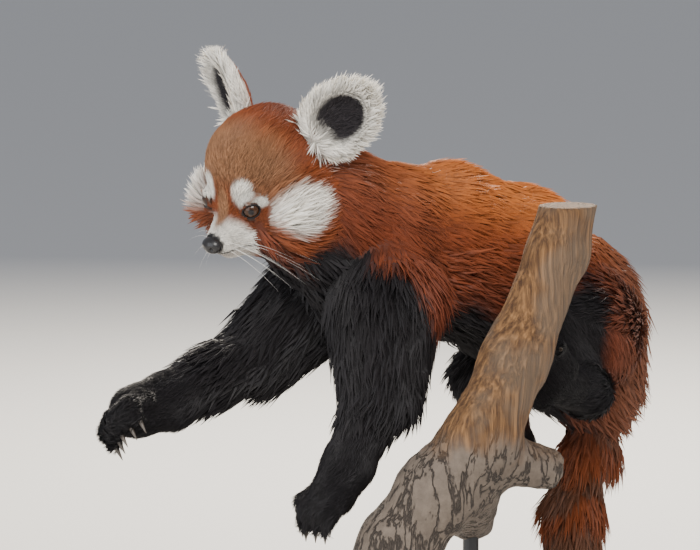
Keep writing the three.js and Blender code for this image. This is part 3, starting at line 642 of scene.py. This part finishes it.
def coat_build(tree, bsdf):
    colour = node(tree, "ShaderNodeVertexColor", {"layer_name": "Coat"})
    tree.links.new(colour.value, bsdf.inputs["Base Color"])
    bsdf.inputs["Roughness"].default_value = 0.62
    bsdf.inputs["Specular IOR Level"].default_value = 0.28
    bsdf.inputs["Sheen Weight"].default_value = 0.05


# Bare weathered wood higher up, grey cracked bark lower down
WOOD_DARK, WOOD_PALE, WOOD_GREY = (0.075, 0.032, 0.012, 1), (0.33, 0.165, 0.062, 1), (0.20, 0.15, 0.105, 1)
BARK_DARK, BARK_PALE, BARK_CRACK = (0.06, 0.045, 0.034, 1), (0.30, 0.235, 0.18, 1), (0.050, 0.037, 0.028, 1)
NOISE = "ShaderNodeTexNoise"


def bark_build(tree, bsdf):
    at = node(tree, "ShaderNodeTexCoord", out=3)
    warp = node(tree, NOISE, inputs={0: at, "Scale": 9.0, "Detail": 2.0}, out=1)
    bent = node(tree, "ShaderNodeVectorMath", {"operation": "MULTIPLY_ADD"}, [warp, (0.05, 0.05, 0.05), at])
    leaning = (0.0, 0.33, 0.0)
    place = node(tree, "ShaderNodeMapping", inputs={0: bent, 2: leaning, 3: (300, 300, 9)})
    grain = node(tree, NOISE, inputs={0: place, "Scale": 1.0, "Detail": 7.0, "Roughness": 0.6})
    place = node(tree, "ShaderNodeMapping", inputs={0: bent, 2: leaning, 3: (75, 75, 17)})
    plates = node(tree, NOISE, inputs={0: place, "Scale": 1.0, "Detail": 4.0, "Roughness": 0.6})
    ridge = (plates - 0.5).math("ABSOLUTE")
    rough = node(tree, NOISE, inputs={0: at, "Scale": 85.0, "Detail": 9.0, "Roughness": 0.7})
    lumps = node(tree, NOISE, inputs={0: at, "Scale": 13.0, "Detail": 5.0})
    height = node(tree, "ShaderNodeSeparateXYZ", inputs=[at], out=2)
    way = {"interpolation_type": "SMOOTHSTEP"}
    bare = node(tree, "ShaderNodeMapRange", way, [height + lumps * 0.16 - 0.08, 0.385, 0.425, 0.0, 1.0])
    deep = node(tree, "ShaderNodeMapRange", way, [grain, 0.30, 0.66, 0.0, 1.0])
    crack = node(tree, "ShaderNodeMapRange", way, [ridge, 0.0, 0.045, 0.0, 1.0])
    wood = blend(tree, deep, WOOD_DARK, WOOD_PALE)
    patchy = node(tree, "ShaderNodeMapRange", way, [lumps, 0.50, 0.62, 0.0, 0.55])
    wood = blend(tree, patchy, wood, WOOD_GREY)
    grey = blend(tree, rough, BARK_DARK, BARK_PALE)
    grey = blend(tree, crack, BARK_CRACK, grey)
    both = blend(tree, bare, grey, wood)
    tree.links.new(both.value, bsdf.inputs["Base Color"])
    heights = {0: bare, 2: crack * 0.8 + rough * 0.5, 3: deep * 0.5 + rough * 0.12}
    relief = node(tree, "ShaderNodeMix", {"data_type": "FLOAT"}, heights)
    bump = node(tree, "ShaderNodeBump", inputs={"Strength": 0.9, "Distance": 0.005, "Height": relief})
    tree.links.new(bump.value, bsdf.inputs["Normal"])
    bsdf.inputs["Roughness"].default_value = 0.82


COAT = material("coat", coat_build)
BARK = material("bark", bark_build)
NOSE = plain("nose_skin", (0.012, 0.010, 0.010), 0.38, coat=0.3)


def eye_build(tree, bsdf):
    colour = node(tree, "ShaderNodeVertexColor", {"layer_name": "Coat"})
    tree.links.new(colour.value, bsdf.inputs["Base Color"])
    bsdf.inputs["Roughness"].default_value = 0.10
    bsdf.inputs["Specular IOR Level"].default_value = 0.35
    bsdf.inputs["Coat Weight"].default_value = 0.25


EYE = material("eye", eye_build)
CLAW = plain("claw", (0.10, 0.082, 0.066), 0.4)
STAND = plain("stand", (0.030, 0.030, 0.032), 0.42)


def own(obj, mat, slot, *nodes):
    obj.data.materials.clear()
    obj.data.materials.append(mat)
    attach(obj, "root")
    if nodes:
        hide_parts(*nodes)
    return obj


# The unwrap: each part and each of six facings has a tile of its own, with a bare edge round it
TILES, TILE_EDGE, TILE_ROOM = 8, 0.05, 0.9


def unwrap(p, part, facing):
    uv = np.zeros((len(p), 2))
    tile = part * 6 + facing
    for t in np.unique(tile):
        m = tile == t
        axis = (t % 6) // 2
        flat = np.delete(p[m], axis, axis=1)
        place = np.clip((flat - UV_LOW[t]) * UV_SCALE[t], 0, TILE_ROOM)
        uv[m] = (np.array([t % TILES, t // TILES]) + TILE_EDGE + place) / TILES
    return uv


# The skin
STEP = 3.0
SKIN_LOW, SKIN_HIGH = np.array([-330.0, -110, 20]), np.array([215.0, 140, 745])
# painted shade: the skin and the tufts' roots are darkened as the shade between the hairs; the tips are
# drawn brighter
ROOT_PAINTED_SHADE, TIP_SHADE = 0.55, 1.22
skin_pos, skin_faces = surface(SKIN_LOW, SKIN_HIGH, STEP, animal)
skin_pos = skin_pos - gradient(animal, skin_pos) * np.clip(animal(skin_pos), -1, 1)[:, None]
skin_part = nearest_part(skin_pos)
corners = skin_pos[skin_faces]
face_cross = np.cross(corners[:, 2] - corners[:, 0], corners[:, 3] - corners[:, 1])
face_normal = unit(face_cross)
face_area = 0.5 * np.linalg.norm(face_cross, axis=-1)
face_mid = corners.mean(1)
face_part = skin_part[skin_faces[:, 0]]
face_axis = np.abs(face_normal).argmax(-1)
face_facing = face_axis * 2 + (face_normal[np.arange(len(face_normal)), face_axis] > 0)
UV_LOW, UV_SCALE = {}, {}
face_tile = face_part * 6 + face_facing
for t in np.unique(face_tile):
    m = face_tile == t
    flat = np.delete(corners[m].reshape(-1, 3), (t % 6) // 2, axis=1)
    UV_LOW[t] = flat.min(0)
    UV_SCALE[t] = TILE_ROOM / max((flat.max(0) - flat.min(0)).max(), 1e-6)
corner_uv = unwrap(corners.reshape(-1, 3), np.repeat(face_part, 4), np.repeat(face_facing, 4))
# the skin's colour is the coat's, darkened as painted shade under the hair
skin_colour = coat_colour(skin_pos, skin_part) * ROOT_PAINTED_SHADE
skin = make_mesh("skin", skin_pos, skin_faces, skin_colour, corner_uv, smooth=True)
FLESH_KINDS = ("head", "neck", "torso", "tail", "ear", "leg", "paw")
FLESH = [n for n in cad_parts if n.split("_")[0] in FLESH_KINDS]
own(skin, COAT, "coat_rust", *FLESH)

# Tufts: bent locks with three sides, and finer straight ones between them
DENSITY = {"torso": 0.30, "neck": 0.34, "head": 0.85, "ear_l": 0.85, "ear_r": 0.85, "tail": 0.34}
share = np.array([DENSITY.get(name, 0.42) for name in PARTS])
face_len = length_of(face_mid, face_part)
bare = np.linalg.norm(face_mid - NOSE_AT, axis=-1) < 9.5
for at in EYES.values():
    bare |= np.linalg.norm(face_mid - at, axis=-1) < EYE_RADIUS + 1.5
LOCK = np.array([
    [0, 2, 1], [0, 1, 4], [0, 4, 3], [1, 2, 5], [1, 5, 4],
    [2, 0, 3], [2, 3, 5], [3, 4, 6], [4, 5, 6], [5, 3, 6],
])
SPIKE = np.array([[0, 2, 1], [0, 1, 3], [1, 2, 3], [2, 0, 3]])
LOCK_UV = np.array([[0, 0], [1, 0], [0.5, 0.3], [0, 0.6], [1, 0.6], [0.5, 0.7], [0.5, 1.0]]) * 2 - 1
SPIKE_UV = np.array([[0, 0], [1, 0], [0.5, 0.3], [0.5, 1.0]]) * 2 - 1
UV_HALF = 0.0015  # half the patch that one tuft takes in the unwrap
PIECES = {
    "head": ["head"], "ears": ["ear_l", "ear_r"], "neck": ["neck"], "tail": ["tail"], "torso": ["torso"],
    **{f"leg_{name}": [name] for name in LEGS},
}
SLOT = {
    "head": "coat_pale", "ears": "coat_pale", "tail": "coat_tail",
    "neck": "coat_rust", "torso": "coat_rust",
}
MAX_TRIANGLES = 190000  # in one piece
FLATNESS = 0.45  # a tuft's thickness over its width
# No hair reaches beyond the solids' own box
BOX = np.array([list(v) for v in start_bounds]) * 1000 + [[0.5], [-0.5]]


def clump(p, scale):
    """A smooth uneven value from -1 to 1 over the body."""
    a = np.sin(p[:, 0] * scale + 2.1 * np.sin(p[:, 2] * scale * 0.7))
    b = np.sin(p[:, 1] * scale * 1.3 + 1.7 * np.sin(p[:, 0] * scale * 0.9 + 1))
    c = np.sin(p[:, 2] * scale * 1.1 + 1.9 * np.sin(p[:, 1] * scale * 0.8 + 2))
    return (a + b + c) / 3


def tufts(label, total, longer, thin, bent):
    weight = face_area * share[face_part] * np.clip((14 / face_len) ** 1.5, 0.5, 1.3 if bent else 6.5)
    weight[bare] = 0
    chosen = RNG.choice(len(skin_faces), total, p=weight / weight.sum())
    r1, r2 = RNG.random(total)[:, None], RNG.random(total)[:, None]
    c = corners[chosen]
    root = c[:, 0] * (1 - r1) * (1 - r2) + c[:, 1] * r1 * (1 - r2)
    root = root + c[:, 2] * r1 * r2 + c[:, 3] * (1 - r1) * r2
    part, normal = face_part[chosen], unit(skin_normal[skin_faces[chosen]].mean(1))
    lie = lie_of(root, part, normal)
    swing = (RNG.normal(0, 0.13, total) + 0.22 * clump(root, 0.11) + 0.12 * clump(root, 0.4))[:, None]
    lie = unit(lie + np.cross(normal, lie) * swing)
    across = np.cross(normal, lie)
    length = length_of(root, part) * RNG.uniform(0.72, 1.12, total) * longer
    width = np.clip(length * thin, 0.26, 1.7) * RNG.uniform(0.75, 1.25, total)
    lift = np.select([part == IS_TAIL, part >= FIRST_LEG], [0.56, 0.34], 0.30)
    shaggy = (length > 21) & ((part >= FIRST_LEG) | ((part <= IS_NECK) & (root[:, 2] < SOLE[2] + 250)))
    lift = np.where(shaggy, 0.66, lift)
    lift = lift * RNG.uniform(0.6, 1.3, total) * (1 + 0.25 * clump(root, 0.23))
    lift = np.where(length < 9, lift + 0.30, lift)
    sink = np.minimum(1.0, length * 0.05)[:, None]
    wave = RNG.normal(0, 0.08, total)
    colour = coat_colour(root + normal * 2 + lie * (length * 0.5)[:, None], part)
    shade = (RNG.uniform(0.80, 1.18, total) * (1 + 0.14 * clump(root, 0.3)))[:, None]

    def station(t):
        bend = lift * (t - 0.58 * t * t) if bent else lift * 0.5 * t
        side = across * (length * wave * t * t)[:, None]
        return root - normal * sink + lie * (length * t)[:, None] + normal * (length * bend)[:, None] + side

    rows = []
    for t, w in ((0.0, 0.8), (0.45, 1.0))[: 2 if bent else 1]:
        mid = station(t)
        for angle in (90, 210, 330):
            a = math.radians(angle)
            out = across * (width * w * math.cos(a))[:, None]
            up = normal * (width * w * FLATNESS * math.sin(a))[:, None]
            rows.append(mid + out + up)
    rows.append(station(1.0))
    points = np.clip(np.stack(rows, 1), BOX[0], BOX[1])
    # the roots are darkened as painted shade between the hairs
    root_tint, tip_tint = [colour * shade * ROOT_PAINTED_SHADE] * 3, [colour * shade * TIP_SHADE]
    tints = np.stack(root_tint + ([colour * shade] * 3 if bent else []) + tip_tint, 1)
    faces, local = (LOCK, LOCK_UV) if bent else (SPIKE, SPIKE_UV)
    uv_root = unwrap(root, part, face_facing[chosen])
    count, most = points.shape[1], MAX_TRIANGLES // len(faces)
    for name, parts in PIECES.items():
        ids = np.flatnonzero(np.isin(part, [PARTS.index(one) for one in parts]))
        for k in range(0, len(ids), most):
            sel = ids[k : k + most]
            f = (faces[None] + count * np.arange(len(sel))[:, None, None]).reshape(-1, 3)
            uv = (uv_root[sel][:, None, :] + local[None] * UV_HALF)[:, faces.ravel()].reshape(-1, 2)
            tint = tints[sel].reshape(-1, 3)
            piece = make_mesh(f"{label}_{name}_{k // most + 1}", points[sel].reshape(-1, 3), f, tint, uv)
            own(piece, COAT, SLOT.get(name, "coat_dark"))


skin_normal = gradient(animal, skin_pos, 2.0)
# How many, share of the full length, width over length, and whether they bend
tufts("locks", 74000, 1.0, 0.062, True)
tufts("hair", 168000, 0.86, 0.042, False)


# Eyes, nose, claws, branch and stand
def ball(name, centre, radii, axes, segments=48, rings=24):
    bpy.ops.mesh.primitive_uv_sphere_add(segments=segments, ring_count=rings, radius=1)
    obj = bpy.context.object
    obj.name = name
    co = np.empty(len(obj.data.vertices) * 3)
    obj.data.vertices.foreach_get("co", co)
    co = co.reshape(-1, 3) * radii
    obj.data.vertices.foreach_set("co", ((centre + co @ np.array(axes)) / 1000).ravel())
    obj.data.polygons.foreach_set("use_smooth", np.ones(len(obj.data.polygons), bool))
    obj.data.update()
    return obj


IRIS = np.array([0.050, 0.018, 0.005])
# The lids' opening in degrees from the gaze, along and across, and where they end
LID_WIDE, LID_TALL, LID_END = 57.0, 35.0, 108.0
# Steps round the eye, and the share of the way out that is dark rim
LID_STEPS, LID_RIM = 56, 0.15
# Shares of the way from the opening to the end, and heights over the eye
LID_PROFILE = [
    (0.0, 0.25), (0.02, 0.7), (0.08, 1.1), (0.18, 1.45), (0.35, 1.75), (0.6, 1.7),
    (1.0, 0.6), (0.7, 0.15), (0.3, 0.15),
]


def eyeball(side, label):
    gaze, corner, _ = eye_axes(side)
    axes = [corner, np.cross(gaze, corner), gaze]
    eye = ball(f"eyeball_{label}", EYES[side], np.full(3, EYE_RADIUS - 0.1), axes)
    co = np.empty(len(eye.data.vertices) * 3)
    eye.data.vertices.foreach_get("co", co)
    off = np.degrees(np.arccos(np.clip(unit(co.reshape(-1, 3) * 1000 - EYES[side]) @ gaze, -1, 1)))
    tint = mix(np.tile(BLACK * 0.5, (len(off), 1)), IRIS, step01(off, 14, 20))
    tint = mix(tint, BLACK, step01(off, 44, 54))
    layer = eye.data.color_attributes.new("Coat", "FLOAT_COLOR", "POINT")
    layer.data.foreach_set("color", np.c_[tint, np.ones(len(tint))].astype(np.float32).ravel())
    own(eye, EYE, "eye", f"eye_{label}")


def lid(side, label):
    gaze, corner, rise = eye_axes(side)
    n = len(LID_PROFILE)
    points, rim, faces, uv = [], [], [], []
    for i in range(LID_STEPS):
        phi = 2 * math.pi * i / LID_STEPS
        opening = LID_WIDE * LID_TALL / math.hypot(LID_TALL * math.cos(phi), LID_WIDE * math.sin(phi))
        for j, (s, high) in enumerate(LID_PROFILE):
            a = math.radians(opening + (LID_END - opening) * s)
            way = gaze * math.cos(a) + (corner * math.cos(phi) + rise * math.sin(phi)) * math.sin(a)
            points.append(EYES[side] + way * (EYE_RADIUS + high))
            rim.append(float(s < LID_RIM))
            here, there, onward = i * n, (i + 1) % LID_STEPS * n, (j + 1) % n
            faces.append([here + j, there + j, there + onward, here + onward])
            uv += [[(i + di) / LID_STEPS, (j + dj) / n] for di, dj in ((0, 0), (1, 0), (1, 1), (0, 1))]
    colour = mix(np.tile(BROWN * 0.45, (len(points), 1)), BLACK * 0.7, np.array(rim))
    uv = (np.array([5 + (side > 0), 7]) + TILE_EDGE + TILE_ROOM * np.array(uv)) / TILES
    shape = make_mesh(f"lid_{label}", np.array(points), np.array(faces)[:, ::side], colour, uv, smooth=True)
    own(shape, COAT, "coat_pale")


for side, label in ((1, "left"), (-1, "right")):
    eyeball(side, label)
for side, label in ((1, "left"), (-1, "right")):
    lid(side, label)
nose = ball("nose_pad", NOSE_AT, np.array([7.2, 9.7, 7.2]), [FORWARD, LEFT, UP], 96, 64)
co = np.empty(len(nose.data.vertices) * 3)
nose.data.vertices.foreach_get("co", co)
co = co.reshape(-1, 3) * 1000
for side in (1, -1):
    nostril = NOSE_AT + FORWARD * 5.6 + LEFT * (side * 4.6) - UP * 1.2
    near = np.exp(-((np.linalg.norm(co - nostril, axis=-1) / 1.9) ** 2))
    co -= (unit(co - NOSE_AT)) * (near * 2.8)[:, None]
nose.data.vertices.foreach_set("co", (co / 1000).ravel())
nose.data.update()
own(nose, NOSE, "nose", "nose")


def tube(name, stations, radii, sides, hint):
    pts = []
    for i, (at, r) in enumerate(zip(stations, radii)):
        z = unit(stations[min(i + 1, len(stations) - 1)] - stations[max(i - 1, 0)])
        x = unit(hint - z * (hint @ z))
        y = np.cross(z, x)
        for s in range(sides):
            a = 2 * math.pi * s / sides
            pts.append(at + x * (r * math.cos(a)) + y * (r * math.sin(a)))
    faces = []
    for i in range(1, len(stations)):
        for s in range(sides):
            n = (s + 1) % sides
            faces.append([(i - 1) * sides + s, (i - 1) * sides + n, i * sides + n, i * sides + s])
    mesh = bpy.data.meshes.new(name)
    last = (len(stations) - 1) * sides
    caps = [list(range(sides))[::-1], [last + s for s in range(sides)]]
    mesh.from_pydata([tuple(v / 1000) for v in pts], [], faces + caps)
    mesh.polygons.foreach_set("use_smooth", [True] * len(faces) + [False, False])
    obj = bpy.data.objects.new(name, mesh)
    bpy.context.scene.collection.objects.link(obj)
    return obj


CLAW_LENGTH, CLAW_DROP, CLAW_RADIUS = 12, 3.0, 2.3
for name, toes in TOES.items():
    for i, (_, _, tip, bent, back, side) in enumerate(toes):
        ts = np.linspace(0, 1, 7)
        path = [tip + bent * (CLAW_LENGTH * t) - back * (CLAW_DROP * t * t) for t in ts]
        radii = [CLAW_RADIUS * (1 - 0.9 * t**1.6) for t in ts]
        claw = tube(f"claw_shown_{name}_{i + 1}", path, radii, 12, side)
        own(claw, CLAW, "claw", f"claw_{name}_{i + 1}")

BRANCH = [
    (P(58, -134, 310), 25), (P(43, -134, 252), 25), (P(3, -134, 168), 28), (P(-28, -130, 101), 31),
    (P(-58, -108, 55), 33), (P(-86, -92, 8), 33), (P(-108, -84, -40), 32),
]
# Where the wood is sawn through: a place on each cut and the way out of the wood
BRANCH_CUTS = [
    (P(0, 0, 291.5), [0, 0, 1]),
    (P(0, 0, -23.5), [0, 0, -1]),
    (P(46, -126, 66), [0.96, 0, -0.28]),
    (P(88, 74, -23), [0.5, 0.8, -0.37]),
]


def branch_field(p):
    stub = cone(p, P(-16, -122, 84), P(60, -126, 62), 24, 17)
    limb = cone(p, P(-24, -104, 58), P(92, 80, -26), 29, 20)
    wood = blended([chain(p, BRANCH, 14), stub, limb], 16)
    groove = 0.7 * np.sin(p[..., 0] * 0.42 + 2 * np.sin(p[..., 2] * 0.03))
    groove = groove * np.sin(p[..., 1] * 0.37 + p[..., 2] * 0.02)
    wood = wood + 1.1 + groove
    for at, way in BRANCH_CUTS:
        reach = np.linalg.norm(p - at, axis=-1) if abs(way[2]) < 0.5 else 0
        wood = np.where(reach < 90, np.maximum(wood, (p - at) @ unit(way)), wood)
    return wood


BRANCH_LOW, BRANCH_HIGH = np.array([-200.0, -160, 278]), np.array([120.0, 130, 606])
bark_pos, bark_faces = surface(BRANCH_LOW, BRANCH_HIGH, 3.0, branch_field)
branch = make_mesh("branch_shown", bark_pos, bark_faces, smooth=True)
own(branch, BARK, "bark", "branch")
for label in ("stand_base", "stand_rod_1", "stand_rod_2"):
    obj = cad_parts[label]
    obj.data.materials.clear()
    obj.data.materials.append(STAND)


# Whiskers: bare paths made round and tapered by a node tree
def whisker_tree(mat):
    tree = bpy.data.node_groups.new("whiskers", "GeometryNodeTree")
    tree.interface.new_socket("Paths", in_out="INPUT", socket_type="NodeSocketGeometry")
    thickness = tree.interface.new_socket("Thickness", in_out="INPUT", socket_type="NodeSocketFloat")
    tree.interface.new_socket("Geometry", in_out="OUTPUT", socket_type="NodeSocketGeometry")
    given, made = tree.nodes.new("NodeGroupInput"), tree.nodes.new("NodeGroupOutput")
    curve = node(tree, "GeometryNodeMeshToCurve", inputs=[Sock(tree, given.outputs["Paths"])])
    along = node(tree, "GeometryNodeSplineParameter")
    radius = (1.08 - along) * Sock(tree, given.outputs["Thickness"])
    curve = node(tree, "GeometryNodeSetCurveRadius", inputs={"Curve": curve, "Radius": radius})
    ring = node(tree, "GeometryNodeCurvePrimitiveCircle", inputs={"Resolution": 5, "Radius": 1.0})
    sweep = tree.nodes.new("GeometryNodeCurveToMesh")
    tree.links.new(curve.value, sweep.inputs["Curve"])
    tree.links.new(ring.value, sweep.inputs["Profile Curve"])
    if "Scale" in sweep.inputs:
        tree.links.new(radius.value, sweep.inputs["Scale"])
    sweep.inputs["Fill Caps"].default_value = True
    whole = node(tree, "GeometryNodeRealizeInstances", inputs=[Sock(tree, sweep.outputs[0])])
    whole = node(tree, "GeometryNodeSetMaterial", inputs={"Geometry": whole, "Material": mat})
    tree.links.new(whole.value, made.inputs["Geometry"])
    return tree, thickness.identifier


def whisker_paths():
    points, edges = [], []
    for side in (1, -1):
        for row in range(3):
            for place in range(4):
                root = on_head(24 - 5 * place, side * (11 + place), -23 - 4 * row)
                out = head_way(-0.30 - 0.12 * place, side * 0.85, -0.12 - 0.22 * row)
                reach = 46 + 6 * place
                for i, t in enumerate(np.linspace(0, 1, 7)):
                    points.append(root + out * (reach * t) - np.array([0, 0, 11.0]) * t * t)
                    if i:
                        edges.append((len(points) - 2, len(points) - 1))
    return points, edges


pale = plain("whisker", (0.75, 0.72, 0.66), 0.4)
points, edges = whisker_paths()
path_mesh = bpy.data.meshes.new("whisker_paths")
path_mesh.from_pydata([tuple(v / 1000) for v in points], edges, [])
whiskers = bpy.data.objects.new("whiskers", path_mesh)
bpy.context.scene.collection.objects.link(whiskers)
modifier = whiskers.modifiers.new("whiskers", "NODES")
modifier.node_group, thickness_id = whisker_tree(pale)
modifier[thickness_id] = 0.00019
bpy.context.view_layer.update()
whole = bpy.data.meshes.new_from_object(whiskers.evaluated_get(bpy.context.evaluated_depsgraph_get()))
whiskers.modifiers.remove(modifier)
whiskers.data = whole
own(whiskers, pale, "coat_pale")

# Floor, light and camera
bpy.ops.mesh.primitive_plane_add(size=1)
floor = bpy.context.object
floor.name = "floor"
floor.scale = (30, 30, 1)
floor.location = (0, 0, -0.0004)
floor.data.materials.append(plain("floor", (0.62, 0.61, 0.59), 0.9))


def area(name, at, target, size, power, colour=(1, 1, 1)):
    light = bpy.data.lights.new(name, "AREA")
    light.size, light.energy, light.color = size, power, colour
    obj = bpy.data.objects.new(name, light)
    obj.location = at
    obj.rotation_euler = (Vector(target) - Vector(at)).to_track_quat("-Z", "Y").to_euler()
    bpy.context.scene.collection.objects.link(obj)


MID = (0.0, 0.0, 0.52)
area("key", (-1.1, -2.2, 2.3), MID, 1.6, 84, (1.0, 0.97, 0.93))
area("fill", (-2.6, -0.4, 1.0), MID, 2.2, 32, (0.92, 0.96, 1.0))
area("rim", (1.4, 2.0, 2.2), MID, 1.0, 230, (1.0, 0.92, 0.80))
world = bpy.data.worlds.new("world")
bpy.context.scene.world = world
world.use_nodes = True
world.node_tree.nodes["Background"].inputs[0].default_value = (0.86, 0.9, 1.0, 1)
world.node_tree.nodes["Background"].inputs[1].default_value = 0.50

AZIMUTH, ELEVATION, DISTANCE, MM_PER_PX = math.radians(-30), math.radians(8), 3.2, 0.86
# In pixels: the picture's width, its middle, and where the photo has the soles' own origin
PICTURE_WIDE, PICTURE_MIDDLE, ORIGIN_AT = 700, 350, 430
level = math.cos(ELEVATION)
toward = np.array([math.sin(AZIMUTH) * level, -math.cos(AZIMUTH) * level, math.sin(ELEVATION)])
right = np.array([math.cos(AZIMUTH), math.sin(AZIMUTH), 0])
anchor = P(0, 0, 220) / 1000
frame_mid = anchor + right * ((PICTURE_MIDDLE - ORIGIN_AT) * MM_PER_PX / 1000)
camera = bpy.data.cameras.new("camera")
camera.sensor_width = 36
camera.lens = camera.sensor_width * DISTANCE / (PICTURE_WIDE * MM_PER_PX / 1000)
cam = bpy.data.objects.new("camera", camera)
cam.location = Vector(frame_mid + toward * DISTANCE)
cam.rotation_euler = Vector(-toward).to_track_quat("-Z", "Y").to_euler()
bpy.context.scene.collection.objects.link(cam)
bpy.context.scene.camera = cam
